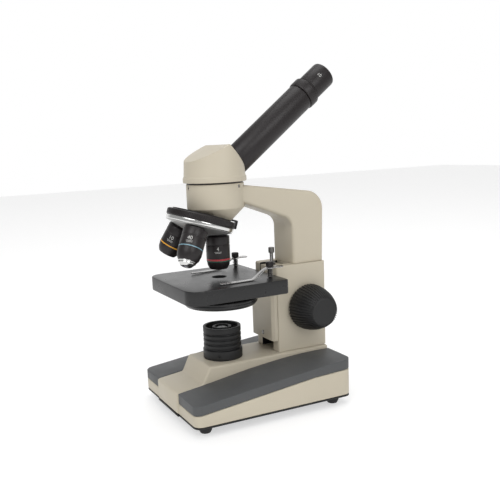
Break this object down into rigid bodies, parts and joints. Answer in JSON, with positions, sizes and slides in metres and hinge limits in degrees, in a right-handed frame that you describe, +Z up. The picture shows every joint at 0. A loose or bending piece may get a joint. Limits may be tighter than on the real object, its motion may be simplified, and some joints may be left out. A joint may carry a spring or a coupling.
{
  "type": "microscope",
  "caption": "Upright monocular student microscope with an inclined tube, a rotating nosepiece, a rack-focused stage with spring clips and a built-in lamp.",
  "frame": {"origin": "the middle of the whole object's plan box, on the surface the feet stand on", "axes": "+Z up, +X to the right of the person looking in, +Y from the user's front edge of the base to the arm and the raised eyepiece"},
  "size_m": [0.1348, 0.1968, 0.3341],
  "materials": {
    "cream_paint": "satin cream enamel",
    "grey_plastic": "fine matte grey",
    "black_plastic": "satin black",
    "black_lacquer": "satin black lacquer on turned metal",
    "black_enamel": "glossy black enamel",
    "chrome_plate": "polished",
    "steel": "bright steel",
    "brass": "machined",
    "rubber": "matte",
    "glass": "polished",
    "circuit_board": "lacquered board"
  },
  "bodies": {
    "stand": {"base_housing": "cream_paint", "side_cover_left": "grey_plastic", "side_cover_right": "grey_plastic", "bottom_plate": "black_plastic", "foot_front_left": "rubber", "foot_front_right": "rubber", "foot_rear_left": "rubber", "foot_rear_right": "rubber", "illuminator_housing": "black_plastic", "illuminator_lens": "glass", "lamp_bulb": "glass", "lamp_socket": "black_plastic", "power_board": "circuit_board", "power_inlet": "black_plastic", "switch_bezel": "black_plastic", "pillar": "cream_paint", "upper_arm": "cream_paint", "arm_bolt": "steel", "nosepiece_base": "black_lacquer", "turret_screw": "steel", "head_lock_screw_1": "steel", "head_lock_screw_2": "steel", "head_lock_screw_3": "steel"},
    "rocker": {"power_switch": "black_plastic"},
    "stage": {"stage_bracket": "cream_paint", "focus_rack": "brass", "stage_plate": "black_enamel", "condenser_lens": "glass", "clip_post_left": "black_lacquer", "clip_post_right": "black_lacquer", "clip_spring_left": "steel", "clip_spring_right": "steel", "stage_screw_left": "steel", "stage_screw_right": "steel", "diaphragm_pivot_screw": "steel"},
    "diaphragm": {"diaphragm_disc": "black_enamel"},
    "left_clip": {"stage_clip_left": "steel"},
    "right_clip": {"stage_clip_right": "steel"},
    "stop_screw": {"stage_stop_screw": "steel"},
    "focus": {"focus_pinion": "brass", "focus_shaft": "steel", "focus_knob_left": "black_plastic", "focus_knob_right": "black_plastic"},
    "nosepiece": {"turret": "chrome_plate", "turret_grip": "black_lacquer", "objective_4x": "black_lacquer", "objective_4x_lens": "glass", "objective_10x": "black_lacquer", "objective_10x_lens": "glass", "objective_40x": "black_lacquer"},
    "sprung_nose": {"objective_40x_nose": "chrome_plate", "objective_40x_lens": "glass"},
    "head": {"head_housing": "cream_paint", "dovetail_ring": "black_lacquer", "prism": "glass", "eyepiece_tube": "black_lacquer", "tube_collar": "black_lacquer"},
    "eyepiece": {"eyepiece_body": "black_plastic", "eye_lens": "glass", "field_lens": "glass"}
  },
  "joints": [
    {"name": "switch_rock", "type": "hinge", "parent": "stand", "child": "rocker", "pos_m": [-0.03, 0.07061, 0.0225], "axis": [1, 0, 0], "range_deg": [0, 14]},
    {"name": "stage_slide", "type": "slide", "parent": "stand", "child": "stage", "axis": [0, 0, 1], "range_m": [-0.012, 0.0035]},
    {"name": "focus_turn", "type": "hinge", "parent": "stand", "child": "focus", "pos_m": [0, 0.05111, 0.094], "axis": [-1, 0, 0], "range_deg": [-96, 28]},
    {"name": "diaphragm_turn", "type": "hinge", "parent": "stage", "child": "diaphragm", "pos_m": [0.0182, -0.04429, 0.1165], "axis": [0, 0, 1], "continuous": true},
    {"name": "left_clip_swing", "type": "hinge", "parent": "stage", "child": "left_clip", "pos_m": [-0.0368, 0.00061, 0.1415], "axis": [0, 0, 1], "range_deg": [-60, 25]},
    {"name": "right_clip_swing", "type": "hinge", "parent": "stage", "child": "right_clip", "pos_m": [0.0368, 0.00061, 0.1415], "axis": [0, 0, 1], "range_deg": [-30, 60]},
    {"name": "stop_screw_travel", "type": "slide", "parent": "stage", "child": "stop_screw", "axis": [0, 0, 1], "range_m": [-0.0018, 0.003]},
    {"name": "nosepiece_turn", "type": "hinge", "parent": "stand", "child": "nosepiece", "pos_m": [0, -0.05329, 0.1879], "axis": [0, 0.309, 0.9511], "continuous": true},
    {"name": "sprung_nose_retract", "type": "slide", "parent": "nosepiece", "child": "sprung_nose", "axis": [-0.2676, 0.4408, 0.8568], "range_m": [0, 0.002], "stiffness_N_per_m": 500, "springref_m": -0.002},
    {"name": "head_turn", "type": "hinge", "parent": "stand", "child": "head", "pos_m": [0, -0.03589, 0.2234], "axis": [0, 0, 1], "continuous": true},
    {"name": "eyepiece_lift", "type": "slide", "parent": "head", "child": "eyepiece", "axis": [0, 0.7859, 0.6184], "range_m": [0, 0.038]}
  ],
  "couplings": [
    {"joint": "focus_turn", "follows": "stage_slide", "rad_per_m": 138.89}
  ]
}
